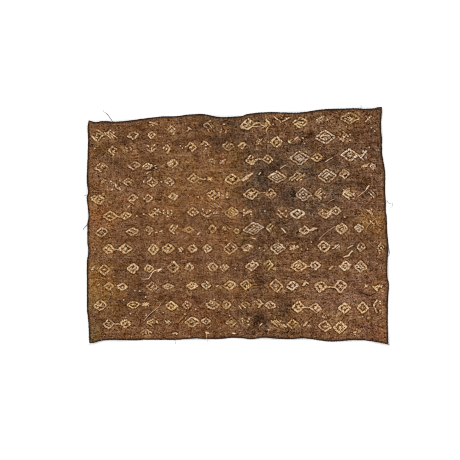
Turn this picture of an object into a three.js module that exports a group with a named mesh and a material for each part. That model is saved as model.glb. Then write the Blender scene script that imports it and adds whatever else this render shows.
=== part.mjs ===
// Kuba cloth: one panel of plain-woven raffia, spread out face up, with a
// narrow rolled hem that is part of the panel. Millimetres, +Z up. The origin
// is at the bottom centre of the panel's own box: X runs along its long side,
// Y towards its top edge, and the underside lies on z = 0 except where the
// cloth cockles.
import * as THREE from 'three';

// ---------------------------------------------------------------- sizes, mm
const SHEET = 1.5;           // thickness of the embroidered ground
const HEM_THICK = 2.8;       // thickness of the rolled edge
const HEM_STEPS = [          // section of the rolled edge, from the rim inwards
  { in: 0.0, low: 1.3, high: 1.3 },
  { in: 0.8, low: 0.0, high: 2.6 },
  { in: 2.6, low: 0.0, high: HEM_THICK },
  { in: 4.2, low: 0.0, high: SHEET },
];
const CELLS_ALONG = 38;      // cells between the hems, left to right
const CELLS_ACROSS = 30;     // cells between the hems, top to bottom

// The four corners of the panel as it lies.
const CORNERS = {
  topLeft: { x: -304.1, y: 215.2 },
  topRight: { x: 293.7, y: 242.4 },
  bottomLeft: { x: -302.8, y: -239.1 },
  bottomRight: { x: 307.1, y: -242.4 },
};

// Each edge wavers off the straight line between its corners. A row is one
// crest or hollow of the edge: how far along the line it is, and how far out
// of the panel it stands there (a negative figure is pulled in).
const TOP_EDGE = [
  { along: 0, out: 0.0 }, { along: 16, out: -4.6 }, { along: 28, out: -2.7 },
  { along: 54, out: -5.3 }, { along: 155, out: 1.1 }, { along: 179, out: 0.4 },
  { along: 200, out: 2.4 }, { along: 224, out: 2.9 }, { along: 277, out: -6.2 },
  { along: 312, out: -5.4 }, { along: 322, out: -2.0 }, { along: 363, out: 0.3 },
  { along: 424, out: -3.7 }, { along: 485, out: 1.0 }, { along: 543, out: -0.1 },
  { along: 567, out: -2.3 }, { along: 583, out: -2.0 }, { along: 590, out: -0.2 },
  { along: 598, out: 0.0 },
];
const BOTTOM_EDGE = [
  { along: 0, out: 0.0 }, { along: 10, out: -0.9 }, { along: 19, out: -4.2 },
  { along: 47, out: -7.2 }, { along: 92, out: -6.2 }, { along: 116, out: -7.6 },
  { along: 174, out: -7.7 }, { along: 218, out: -10.8 }, { along: 243, out: -9.7 },
  { along: 271, out: -10.2 }, { along: 292, out: -12.4 }, { along: 312, out: -11.9 },
  { along: 327, out: -9.7 }, { along: 359, out: -13.1 }, { along: 382, out: -11.0 },
  { along: 414, out: -10.2 }, { along: 433, out: -12.3 }, { along: 496, out: -5.9 },
  { along: 545, out: -9.4 }, { along: 602, out: -2.4 }, { along: 610, out: 0.0 },
];
const LEFT_EDGE = [
  { along: 0, out: 0.0 }, { along: 17, out: 2.3 }, { along: 37, out: 1.7 },
  { along: 123, out: 4.4 }, { along: 147, out: 1.8 }, { along: 157, out: 4.3 },
  { along: 196, out: 1.1 }, { along: 212, out: 3.4 }, { along: 245, out: 3.7 },
  { along: 265, out: 1.5 }, { along: 294, out: 4.9 }, { along: 388, out: 4.7 },
  { along: 404, out: 2.7 }, { along: 454, out: 0.0 },
];
const RIGHT_EDGE = [
  { along: 0, out: 0.0 }, { along: 48, out: -3.0 }, { along: 64, out: -1.8 },
  { along: 89, out: -2.1 }, { along: 138, out: 3.1 }, { along: 174, out: 1.9 },
  { along: 195, out: 2.8 }, { along: 211, out: 2.1 }, { along: 225, out: 3.9 },
  { along: 248, out: 3.7 }, { along: 289, out: 5.9 }, { along: 309, out: 3.0 },
  { along: 346, out: 1.6 }, { along: 362, out: 4.4 }, { along: 395, out: 1.7 },
  { along: 476, out: -0.6 }, { along: 485, out: 0.0 },
];

// Where the cloth doesn't lie dead flat. A row is one soft ridge from
// (x0, y0) to (x1, y1), as high as rise and fading out at reach to each side.
const COCKLES = [
  // the old fold down the middle
  { x0: 7, y0: 216, x1: 9, y1: 96, rise: 1.9, reach: 17 },
  { x0: 9, y0: 96, x1: 6, y1: -40, rise: 1.3, reach: 15 },
  { x0: 6, y0: -40, x1: 8, y1: -224, rise: 1.8, reach: 17 },
  // hollows of the top edge, which stand up a little
  { x0: -250, y0: 214, x1: -222, y1: 176, rise: 3.0, reach: 40 },
  { x0: -28, y0: 224, x1: -36, y1: 178, rise: 3.6, reach: 42 },
  { x0: 118, y0: 232, x1: 104, y1: 186, rise: 3.2, reach: 44 },
  { x0: 250, y0: 240, x1: 236, y1: 204, rise: 2.4, reach: 34 },
  // hollows of the bottom edge
  { x0: -246, y0: -234, x1: -232, y1: -206, rise: 2.2, reach: 34 },
  { x0: -84, y0: -230, x1: -92, y1: -196, rise: 2.6, reach: 36 },
  { x0: 60, y0: -228, x1: 54, y1: -190, rise: 2.8, reach: 34 },
  { x0: 130, y0: -229, x1: 140, y1: -196, rise: 2.4, reach: 30 },
  { x0: 236, y0: -234, x1: 222, y1: -204, rise: 2.0, reach: 32 },
  // notches of the two side edges
  { x0: -306, y0: 68, x1: -276, y1: 60, rise: 2.4, reach: 28 },
  { x0: -305, y0: 19, x1: -282, y1: 12, rise: 2.0, reach: 24 },
  { x0: -305, y0: -50, x1: -270, y1: -58, rise: 2.2, reach: 30 },
  { x0: 293, y0: 190, x1: 262, y1: 182, rise: 2.6, reach: 32 },
  { x0: 304, y0: -88, x1: 270, y1: -80, rise: 2.8, reach: 34 },
  // lifted corners
  { x0: -304, y0: 215, x1: -290, y1: 203, rise: 3.8, reach: 30 },
  { x0: 292, y0: 240, x1: 284, y1: 232, rise: 3.0, reach: 26 },
  { x0: 306, y0: -241, x1: 290, y1: -228, rise: 3.6, reach: 32 },
  { x0: -302, y0: -238, x1: -290, y1: -228, rise: 2.6, reach: 26 },
  // low ridges left in the field by handling
  { x0: 60, y0: 120, x1: 170, y1: 60, rise: 1.7, reach: 26 },
  { x0: 150, y0: -20, x1: 268, y1: 36, rise: 1.5, reach: 24 },
  { x0: 110, y0: -150, x1: 214, y1: -118, rise: 1.6, reach: 24 },
  { x0: -206, y0: 96, x1: -104, y1: 134, rise: 1.6, reach: 26 },
  { x0: -250, y0: -96, x1: -150, y1: -136, rise: 1.7, reach: 26 },
  { x0: -110, y0: -18, x1: -44, y1: -86, rise: 1.5, reach: 24 },
];

// ------------------------------------------------------------------- outline
// Smooth curve through a table's rows that never overshoots them.
function between(rows, at) {
  const last = rows.length - 1;
  const slope = (i) => (rows[i + 1].out - rows[i].out) / (rows[i + 1].along - rows[i].along);
  const tangent = (i) => {
    if (i === 0) return slope(0);
    if (i === last) return slope(last - 1);
    const a = slope(i - 1);
    const b = slope(i);
    if (a * b <= 0) return 0;
    const before = rows[i].along - rows[i - 1].along;
    const after = rows[i + 1].along - rows[i].along;
    const wa = 2 * after + before;
    const wb = after + 2 * before;
    return (wa + wb) / (wa / a + wb / b);
  };
  let i = 0;
  while (i < last - 1 && at > rows[i + 1].along) i += 1;
  const h = rows[i + 1].along - rows[i].along;
  const t = Math.min(1, Math.max(0, (at - rows[i].along) / h));
  return rows[i].out * (1 + 2 * t) * (1 - t) ** 2 + h * tangent(i) * t * (1 - t) ** 2
    + rows[i + 1].out * t * t * (3 - 2 * t) + h * tangent(i + 1) * t * t * (t - 1);
}

// A point on an edge, at the share s of its length from corner a to corner b.
function edgePoint(a, b, rows, s, outX, outY) {
  const length = Math.hypot(b.x - a.x, b.y - a.y);
  const ex = (b.x - a.x) / length;
  const ey = (b.y - a.y) / length;
  // the edge's normal that points out of the panel
  const side = Math.sign(-ey * outX + ex * outY);
  const full = rows[rows.length - 1].along;
  const out = between(rows, s * full);
  return {
    x: a.x + ex * length * s - ey * side * out,
    y: a.y + ey * length * s + ex * side * out,
  };
}

// The panel's surface between its four edges: u runs from the left edge to the
// right one, v from the top edge to the bottom one.
function panelPoint(u, v) {
  const c = CORNERS;
  const top = edgePoint(c.topLeft, c.topRight, TOP_EDGE, u, 0, 1);
  const bottom = edgePoint(c.bottomLeft, c.bottomRight, BOTTOM_EDGE, u, 0, -1);
  const left = edgePoint(c.topLeft, c.bottomLeft, LEFT_EDGE, v, -1, 0);
  const right = edgePoint(c.topRight, c.bottomRight, RIGHT_EDGE, v, 1, 0);
  const mix = (k) => (1 - v) * top[k] + v * bottom[k] + (1 - u) * left[k] + u * right[k]
    - (1 - u) * (1 - v) * c.topLeft[k] - u * (1 - v) * c.topRight[k]
    - (1 - u) * v * c.bottomLeft[k] - u * v * c.bottomRight[k];
  return { x: mix('x'), y: mix('y') };
}

// How far the cloth is lifted off the surface at a point.
function lift(x, y) {
  let most = 0;
  let rest = 0;
  for (const c of COCKLES) {
    const dx = c.x1 - c.x0;
    const dy = c.y1 - c.y0;
    const t = Math.min(1, Math.max(0, ((x - c.x0) * dx + (y - c.y0) * dy) / (dx * dx + dy * dy)));
    const far = Math.hypot(x - c.x0 - t * dx, y - c.y0 - t * dy) / c.reach;
    if (far >= 1) continue;
    const h = c.rise * (1 - far * far) ** 2;
    rest += Math.min(most, h);
    most = Math.max(most, h);
  }
  return most + 0.35 * rest;
}

// ---------------------------------------------------------------- the panel
// Shares of the width (or height) at which the grid has a line: the hem's
// steps at both ends and even cells between them.
function gridLines(span, cells) {
  const steps = HEM_STEPS.map((row) => row.in / span);
  const inner = steps[steps.length - 1];
  const lines = steps.slice();
  for (let i = 1; i < cells; i += 1) lines.push(inner + (1 - 2 * inner) * (i / cells));
  for (let i = steps.length - 1; i >= 0; i -= 1) lines.push(1 - steps[i]);
  return lines;
}

function clothGeometry() {
  const us = gridLines(608, CELLS_ALONG);
  const vs = gridLines(472, CELLS_ACROSS);
  const nu = us.length;
  const nv = vs.length;
  const stepOf = (i, n) => Math.min(i, n - 1 - i, HEM_STEPS.length - 1);

  const positions = [];
  const low = [];
  const high = [];
  for (let j = 0; j < nv; j += 1) {
    for (let i = 0; i < nu; i += 1) {
      const p = panelPoint(us[i], vs[j]);
      const section = HEM_STEPS[Math.min(stepOf(i, nu), stepOf(j, nv))];
      const up = lift(p.x, p.y);
      low.push(positions.length / 3);
      positions.push(p.x, p.y, up + section.low);
      if (section.in === 0) {
        high.push(low[low.length - 1]);      // the rim is shared by both faces
      } else {
        high.push(positions.length / 3);
        positions.push(p.x, p.y, up + section.high);
      }
    }
  }

  const index = [];
  for (let j = 0; j < nv - 1; j += 1) {
    for (let i = 0; i < nu - 1; i += 1) {
      const q = [j * nu + i, j * nu + i + 1, (j + 1) * nu + i + 1, (j + 1) * nu + i];
      // the diagonal is turned so that a corner cell isn't folded flat
      const turned = (i < nu / 2) === (j < nv / 2);
      const tris = turned ? [[0, 2, 1], [0, 3, 2]] : [[0, 3, 1], [1, 3, 2]];
      for (const t of tris) {
        const a = t.map((k) => high[q[k]]);
        const b = t.map((k) => low[q[k]]).reverse();
        index.push(...a, ...b);
      }
    }
  }

  const geometry = new THREE.BufferGeometry();
  geometry.setAttribute('position', new THREE.Float32BufferAttribute(positions, 3));
  geometry.setIndex(index);
  geometry.computeBoundingBox();
  const box = geometry.boundingBox;
  geometry.translate(-(box.min.x + box.max.x) / 2, -(box.min.y + box.max.y) / 2, -box.min.z);
  geometry.computeVertexNormals();
  return geometry;
}

const raffia = new THREE.MeshStandardMaterial({ color: 0x745237, roughness: 0.92, metalness: 0 });

const cloth = new THREE.Mesh(clothGeometry(), raffia);
cloth.name = 'cloth';
cloth.position.set(0, 0, 0);

const part = new THREE.Group();
part.name = 'kuba_cloth';
part.add(cloth);

export default part;
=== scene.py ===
# Kuba cloth: one raffia panel with rows of small linked diamonds, lying flat.
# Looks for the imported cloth: a fine sheet on the same outline and cockles, a
# plain weave with stains and wear, stitched diamonds, slubs, knots, a dark
# rolled hem with its overcasting, and the stray threads along the edges.
import math

import bpy
import numpy as np
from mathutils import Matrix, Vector


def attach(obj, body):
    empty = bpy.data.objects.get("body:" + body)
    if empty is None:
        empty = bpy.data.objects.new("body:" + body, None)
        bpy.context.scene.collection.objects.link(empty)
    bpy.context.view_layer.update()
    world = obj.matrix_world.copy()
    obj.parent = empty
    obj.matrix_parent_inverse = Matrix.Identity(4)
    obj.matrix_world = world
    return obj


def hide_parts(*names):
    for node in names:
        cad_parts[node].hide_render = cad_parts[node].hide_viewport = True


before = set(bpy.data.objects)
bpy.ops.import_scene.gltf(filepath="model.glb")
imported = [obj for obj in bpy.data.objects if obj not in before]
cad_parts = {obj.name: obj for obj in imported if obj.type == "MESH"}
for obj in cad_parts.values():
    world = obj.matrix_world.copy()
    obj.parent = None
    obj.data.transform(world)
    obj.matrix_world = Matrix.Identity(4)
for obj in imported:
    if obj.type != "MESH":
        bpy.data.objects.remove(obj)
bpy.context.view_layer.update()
MM = 0.001

# ------------------------------------------------------------------ the panel
# The outline and the cockles, as in the solid. Millimetres.
SHEET, HEM_THICK = 1.5, 2.8
WIDE, TALL = 608.0, 472.0            # cloth coordinates: s to the right, t down
CORNERS = {"tl": (-304.1, 215.2), "tr": (293.7, 242.4), "bl": (-302.8, -239.1), "br": (307.1, -242.4)}
TOP_EDGE = [(0, 0), (16, -4.6), (28, -2.7), (54, -5.3), (155, 1.1), (179, .4), (200, 2.4), (224, 2.9), (277, -6.2), (312, -5.4), (322, -2), (363, .3), (424, -3.7), (485, 1), (543, -.1), (567, -2.3), (583, -2), (590, -.2), (598, 0)]
BOTTOM_EDGE = [(0, 0), (10, -.9), (19, -4.2), (47, -7.2), (92, -6.2), (116, -7.6), (174, -7.7), (218, -10.8), (243, -9.7), (271, -10.2), (292, -12.4), (312, -11.9), (327, -9.7), (359, -13.1), (382, -11), (414, -10.2), (433, -12.3), (496, -5.9), (545, -9.4), (602, -2.4), (610, 0)]
LEFT_EDGE = [(0, 0), (17, 2.3), (37, 1.7), (123, 4.4), (147, 1.8), (157, 4.3), (196, 1.1), (212, 3.4), (245, 3.7), (265, 1.5), (294, 4.9), (388, 4.7), (404, 2.7), (454, 0)]
RIGHT_EDGE = [(0, 0), (48, -3), (64, -1.8), (89, -2.1), (138, 3.1), (174, 1.9), (195, 2.8), (211, 2.1), (225, 3.9), (248, 3.7), (289, 5.9), (309, 3), (346, 1.6), (362, 4.4), (395, 1.7), (476, -.6), (485, 0)]
# x0, y0, x1, y1, rise, reach
COCKLES = [
    (7, 216, 9, 96, 1.9, 17), (9, 96, 6, -40, 1.3, 15), (6, -40, 8, -224, 1.8, 17),
    (-250, 214, -222, 176, 3.0, 40), (-28, 224, -36, 178, 3.6, 42), (118, 232, 104, 186, 3.2, 44), (250, 240, 236, 204, 2.4, 34),
    (-246, -234, -232, -206, 2.2, 34), (-84, -230, -92, -196, 2.6, 36), (60, -228, 54, -190, 2.8, 34), (130, -229, 140, -196, 2.4, 30), (236, -234, 222, -204, 2.0, 32),
    (-306, 68, -276, 60, 2.4, 28), (-305, 19, -282, 12, 2.0, 24), (-305, -50, -270, -58, 2.2, 30), (293, 190, 262, 182, 2.6, 32), (304, -88, 270, -80, 2.8, 34),
    (-304, 215, -290, 203, 3.8, 30), (292, 240, 284, 232, 3.0, 26), (306, -241, 290, -228, 3.6, 32), (-302, -238, -290, -228, 2.6, 26),
    (60, 120, 170, 60, 1.7, 26), (150, -20, 268, 36, 1.5, 24), (110, -150, 214, -118, 1.6, 24), (-206, 96, -104, 134, 1.6, 26), (-250, -96, -150, -136, 1.7, 26), (-110, -18, -44, -86, 1.5, 24),
]


def smooth_rows(rows, at):
    xs = np.array([r[0] for r in rows], float)
    ys = np.array([r[1] for r in rows], float)
    h = np.diff(xs)
    d = np.diff(ys) / h
    m = np.zeros(len(xs))
    for i in range(1, len(xs) - 1):
        if d[i - 1] * d[i] > 0:
            wa, wb = 2 * h[i] + h[i - 1], h[i] + 2 * h[i - 1]
            m[i] = (wa + wb) / (wa / d[i - 1] + wb / d[i])
    m[0], m[-1] = d[0], d[-1]
    at = np.clip(at, xs[0], xs[-1])
    i = np.clip(np.searchsorted(xs, at, side="right") - 1, 0, len(xs) - 2)
    t = (at - xs[i]) / h[i]
    return ys[i] * (1 + 2 * t) * (1 - t) ** 2 + h[i] * m[i] * t * (1 - t) ** 2 + ys[i + 1] * t * t * (3 - 2 * t) + h[i] * m[i + 1] * t * t * (t - 1)


def lattice(seed):
    """Smooth noise of its own: a fixed table of random numbers, blended."""
    table = np.random.default_rng(seed).random((64, 64))

    def value(x, y):
        x, y = np.asarray(x, float), np.asarray(y, float)
        i, j = np.floor(x).astype(int), np.floor(y).astype(int)
        fx, fy = x - i, y - j
        fx, fy = fx * fx * (3 - 2 * fx), fy * fy * (3 - 2 * fy)
        a, b = table[i % 64, j % 64], table[(i + 1) % 64, j % 64]
        c, d = table[i % 64, (j + 1) % 64], table[(i + 1) % 64, (j + 1) % 64]
        return ((a * (1 - fx) + b * fx) * (1 - fy) + (c * (1 - fx) + d * fx) * fy) * 2 - 1

    return value


N1, N2, N3, N4, N5, N6 = (lattice(k) for k in (11, 12, 13, 14, 15, 16))


def edge_point(a, b, rows, s, out, wave):
    a, b = np.array(a), np.array(b)
    e = b - a
    length = np.hypot(*e)
    e = e / length
    side = np.sign(-e[1] * out[0] + e[0] * out[1])
    far = smooth_rows(rows, s * rows[-1][0])
    # the hand-rolled edge is never quite even
    far = far + (0.30 * N5(s * length / 7.0, wave) + 0.22 * N6(s * length / 3.1, wave)) * np.clip(s * 40, 0, 1) * np.clip((1 - s) * 40, 0, 1)
    return a[0] + e[0] * length * s - e[1] * side * far, a[1] + e[1] * length * s + e[0] * side * far


def flat_place(s, t):
    """World x and y, in mm, of a point of the cloth."""
    u, v = np.asarray(s, float) / WIDE, np.asarray(t, float) / TALL
    c = CORNERS
    top = edge_point(c["tl"], c["tr"], TOP_EDGE, u, (0, 1), 3.5)
    bottom = edge_point(c["bl"], c["br"], BOTTOM_EDGE, u, (0, -1), 9.5)
    left = edge_point(c["tl"], c["bl"], LEFT_EDGE, v, (-1, 0), 17.5)
    right = edge_point(c["tr"], c["br"], RIGHT_EDGE, v, (1, 0), 25.5)
    return [
        (1 - v) * top[k] + v * bottom[k] + (1 - u) * left[k] + u * right[k]
        - (1 - u) * (1 - v) * c["tl"][k] - u * (1 - v) * c["tr"][k] - (1 - u) * v * c["bl"][k] - u * v * c["br"][k]
        for k in (0, 1)
    ]


def cloth_of(x, y):
    """Cloth coordinates of a world point, in mm."""
    s, t = (np.asarray(x, float) + 305) * WIDE / 612, (230 - np.asarray(y, float)) * TALL / 470
    for _ in range(10):
        px, py = flat_place(np.clip(s, 0, WIDE), np.clip(t, 0, TALL))
        s, t = s + (x - px) * WIDE / 612, t - (y - py) * TALL / 470
    return s, t


def lift(x, y):
    most, rest = np.zeros_like(x), np.zeros_like(x)
    for x0, y0, x1, y1, rise, reach in COCKLES:
        dx, dy = x1 - x0, y1 - y0
        t = np.clip(((x - x0) * dx + (y - y0) * dy) / (dx * dx + dy * dy), 0, 1)
        far = np.hypot(x - x0 - t * dx, y - y0 - t * dy) / reach
        h = np.where(far < 1, rise * (1 - np.minimum(far, 1) ** 2) ** 2, 0.0)
        rest = rest + np.minimum(most, h)
        most = np.maximum(most, h)
    return most + 0.35 * rest


def rumple(s, t):
    """Small unevenness of an old hand-woven sheet, from 4 to 30 mm across."""
    return 0.30 * N1(s / 26, t / 22) + 0.24 * N2(s / 12, t / 10) + 0.14 * N3(s / 5.5, t / 5.0)


def top_height(s, t):
    x, y = flat_place(s, t)
    return x, y, lift(x, y) + SHEET + 0.35 + rumple(s, t)


# ---------------------------------------------------------------- mesh helpers
def new_object(name, verts, quads, tris, attrs=(), smooth=True):
    """A mesh object from arrays, in mm."""
    me = bpy.data.meshes.new(name)
    loops = np.concatenate([np.asarray(quads, int).reshape(-1), np.asarray(tris, int).reshape(-1)])
    nq, nt = len(quads), len(tris)
    me.vertices.add(len(verts))
    me.vertices.foreach_set("co", (np.asarray(verts, float) * MM).reshape(-1))
    me.loops.add(len(loops))
    me.loops.foreach_set("vertex_index", loops)
    me.polygons.add(nq + nt)
    me.polygons.foreach_set("loop_start", np.concatenate([np.arange(nq) * 4, nq * 4 + np.arange(nt) * 3]))
    me.polygons.foreach_set("use_smooth", np.full(nq + nt, smooth))
    me.update(calc_edges=True)
    me.validate()
    for kind, label, data in attrs:
        a = me.attributes.new(label, kind, "POINT")
        a.data.foreach_set("color" if kind == "FLOAT_COLOR" else "vector" if kind == "FLOAT_VECTOR" else "value", np.asarray(data, float).reshape(-1))
    ob = bpy.data.objects.new(name, me)
    bpy.context.scene.collection.objects.link(ob)
    return ob


def lin(rgb):
    c = np.asarray(rgb, float) / 255
    return np.where(c <= 0.04045, c / 12.92, ((c + 0.055) / 1.055) ** 2.4)


# --------------------------------------------------------------- ground colour
GROUND = (112, 77, 50)
DYE = {
    "ochre": (140, 98, 54), "rust": (140, 92, 55), "gold": (148, 108, 56), "dark": (56, 43, 30), "umber": (80, 55, 36), "plum": (84, 59, 48),
    "grey": (88, 74, 60), "pitch": (60, 38, 21), "slate": (84, 65, 53), "pink": (134, 95, 73), "olive": (108, 84, 42), "red": (116, 72, 48),
}
# Where the cloth has aged: x, y, half-width, half-height (mm), turn, dye, amount
STAINS = """46 95 18 17 0 dark .95; 71 122 26 16 25 dark .72; 120 152 27 14 20 grey .55; 115 65 14 16 0 dark .85; 34 103 12 14 0 dark .75; 116 69 9 9 0 dark .55; -26 178 20 14 0 dark .35; 70 138 18 12 0 dark .40; 48 118 42 30 0 dark .20; 92 76 45 35 0 dark .20; 140 120 30 25 0 umber .20; -243 172 24 16 0 umber .45; 128 -205 24 18 0 umber .55; 198 -188 34 20 0 gold .45; 130 -142 40 26 0 gold .20; 122 118 26 24 0 dark .22; 40 72 40 24 0 dark .20; -120 121 24 18 0 umber .20; -267 182 24 14 0 umber .30; -267 -139 30 26 0 gold .25; -71 -139 24 20 0 umber .22; 269 -139 24 20 0 pink .28; -248 10 30 90 0 rust .12; -279 153 16 14 0 olive .45; -11 154 16 37 0 olive .55; -19 182 35 14 0 umber .95; 26 215 33 8 0 umber .60; 59 92 14 22 0 dark .70; 24 128 18 26 0 umber .55; 94 40 20 24 0 umber .55; 60 -8 26 22 0 umber .40
-30 208 46 12 0 dark .55; 92 -168 20 34 0 dark .40; 96 -198 22 16 0 olive .50; 24 -196 26 20 0 dark .40; 300 150 9 60 0 umber .45; -215 -165 22 20 0 umber .45; -186 -88 20 14 0 umber .45; 205 64 40 16 0 dark .35; 170 130 120 80 0 slate .45; 215 -50 90 60 0 slate .28; 220 -165 90 45 0 pink .22
-262 -140 30 25 0 ochre .35; 24 69 26 22 0 dark .35; 122 121 30 24 0 slate .40; -71 -139 26 22 0 umber .40; -95 17 40 22 0 umber .25; 73 -35 24 22 0 umber .35; -95 72 45 22 0 ochre .25
36 48 24 18 0 umber .62; 67 29 24 18 0 umber .50; 32 17 20 14 0 umber .50; 54 -7 20 18 0 umber .40; 111 -22 24 16 0 umber .45; 14 -24 14 29 0 olive .50; 42 -52 22 16 0 umber .48; 26 -75 16 14 0 plum .45
38 -95 18 16 0 umber .50; 52 -115 16 14 0 dark .45; 40 -192 18 15 0 pitch .90; 50 -152 20 14 0 umber .45; 99 -164 16 24 0 umber .50; 85 -195 16 14 0 umber .28; 103 -215 18 12 0 umber .50; -3 -91 16 24 0 plum .38
-52 -113 18 16 0 umber .28; -209 -134 16 24 0 umber .52; -243 -156 18 20 0 umber .40; -254 -197 20 18 0 umber .30; -86 -154 29 18 0 red .45; 7 -175 18 20 0 umber .45; -178 133 22 12 15 umber .62; -248 131 29 16 0 umber .35
-282 162 24 16 0 umber .30; 148 109 35 20 0 grey .62; 189 72 33 18 0 grey .52; 146 40 29 18 0 grey .50; 262 72 27 16 0 dark .42; 220 162 24 14 0 plum .55; 271 176 20 24 0 plum .50; 285 207 16 16 0 umber .50
189 131 33 16 0 umber .40; 134 193 33 12 0 umber .35; 152 -36 24 18 0 umber .30; 97 11 29 16 0 grey .40; -66 188 45 14 0 umber .35; -133 176 33 12 0 umber .30; -219 205 53 8 0 umber .25; -97 160 20 12 0 umber .35
-105 123 53 16 0 ochre .36; -84 93 61 18 0 ochre .46; -44 60 24 20 0 rust .62; -13 29 20 16 0 rust .50; -66 46 29 12 0 rust .25; -133 146 29 10 0 ochre .28; -46 135 27 12 0 rust .38; -125 44 24 16 0 ochre .30
-278 54 27 14 0 gold .55; -270 17 31 18 0 rust .70; -297 23 16 29 0 rust .55; -217 52 24 16 0 rust .40; -176 56 24 16 0 pink .35; -290 -30 24 14 0 ochre .35; -280 -87 27 16 0 gold .65; -297 -122 18 27 0 gold .55
-272 -118 20 16 0 ochre .35; -290 -158 22 16 0 olive .55; -299 -224 18 18 0 olive .65; -260 -50 20 14 0 rust .30; 275 6 27 17 0 gold .85; 290 -4 16 20 0 rust .30; 242 50 29 16 0 pink .42; 67 -75 12 20 0 olive .70; 297 42 10 33 0 rust .40
240 -52 16 10 0 olive .30; 191 -152 45 20 0 pink .24; 222 -120 33 20 0 pink .26; 273 -91 24 24 0 pink .26; 234 -203 45 16 0 red .35; 283 -224 24 16 0 red .60; 160 -215 29 14 0 red .45; -148 -213 69 16 0 red .40
-60 -189 41 16 0 red .35; -178 -87 29 14 0 pink .25; -105 -11 41 16 0 rust .22; -178 -13 24 20 0 umber .20; -154 97 16 20 0 umber .22; -111 -50 24 14 0 rust .14; -52 -60 36 30 0 pink .22; -199 23 16 16 0 umber .20
1 97 20 12 0 gold .40; -3 64 16 16 0 olive .35; -239 -101 20 18 0 umber .25; -82 -126 24 14 0 gold .25; -21 -122 24 12 0 gold .35; 211 15 24 14 0 umber .30; 179 -13 33 14 0 umber .25; 287 133 12 37 0 plum .30
230 -75 24 12 0 pink .25; 128 -83 24 14 0 pink .30; 89 -46 16 12 0 pink .20; 209 193 29 14 0 olive .25; 107 223 53 8 0 umber .30; 209 231 73 8 0 umber .35; -35 211 61 8 0 dark .45"""
FOLD_X = 7.5                       # the old fold; the cloth is greyer to its right


def tone(colour, gain):
    """Darker is redder and lighter is paler, as old dyed raffia is."""
    g = np.clip(np.asarray(gain, float), .04, 4)[:, None]
    down, deep = np.minimum(g, 1), np.minimum(g / .62, 1)
    return colour * np.concatenate([g, g ** 1.24 * down ** .10 * deep ** .22, g ** 1.48 * down ** .30 * deep ** .50], 1)


def ground_colour(s, t, x, y):
    """Linear colour of the dyed and soiled ground at points of the cloth."""
    base = np.tile(lin(GROUND), (len(x), 1))
    wx = x + 7 * N4(s / 31 + 3, t / 29) + 6 * N2(s / 11, t / 12 + 7) + 3 * N3(s / 5, t / 5)
    wy = y + 7 * N4(s / 29 + 19, t / 31) + 6 * N2(s / 12 + 9, t / 11) + 3 * N3(s / 5 + 9, t / 5)
    for cell in STAINS.replace("\n", ";").split(";"):
        *nums, dye, amount = cell.split()
        sx, sy, rx, ry, turn = (float(v) for v in nums)
        amount = float(amount)
        a = math.radians(turn)
        dx, dy = wx - sx, wy - sy
        p = (dx * math.cos(a) + dy * math.sin(a)) / rx
        q = (-dx * math.sin(a) + dy * math.cos(a)) / ry
        w = amount * np.exp(-0.9 * (p * p + q * q))
        base = base * (1 - w[:, None]) + lin(DYE[dye]) * w[:, None]
    # right of the fold the upper part is greyer and darker, with a sharp side
    side = 1 / (1 + np.exp(-(wx - FOLD_X - 2) / 5.0))
    band = 1 / (1 + np.exp((np.abs(wy - 70) - 105) / 18)) * np.exp(-np.clip(wx - FOLD_X, 0, None) / 120)
    w = (0.50 * side * band)[:, None]
    base = base * (1 - w) + lin((82, 64, 48)) * w
    left = (0.11 * (1 - side) * np.exp(-np.clip(FOLD_X - wx, 0, None) / 90) / (1 + np.exp((np.abs(wy - 80) - 90) / 20)))[:, None]
    base = base * (1 - left) + lin((150, 104, 60)) * left
    # more orange in some places, more purple in others
    hue = (.55 * N2(s / 24 + 11, t / 15) + .45 * N4(s / 10, t / 7 + 5) + .5 * N1(s / 70 + 9, t / 60))[:, None]
    base = base * (1 + hue * np.array([.07, .0, -.20]))
    shade = 1 + 0.15 * N1(s / 15 + 5, t / 11) + 0.15 * N3(s / 8, t / 6 + 31) + 0.11 * N6(s / 34, t / 2.3) + 0.07 * N5(s / 2.4, t / 50) + 0.10 * N2(s / 21, t / 5 + 40)
    return tone(base, shade)


# ------------------------------------------------------------------ embroidery
THREAD = {
    "w": (210, 180, 144), "t": (204, 167, 124), "y": (206, 168, 115), "Y": (208, 172, 124), "p": (204, 165, 128),
    "g": (200, 172, 140), "f": (180, 140, 98), "G": (198, 165, 114),
}
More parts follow.
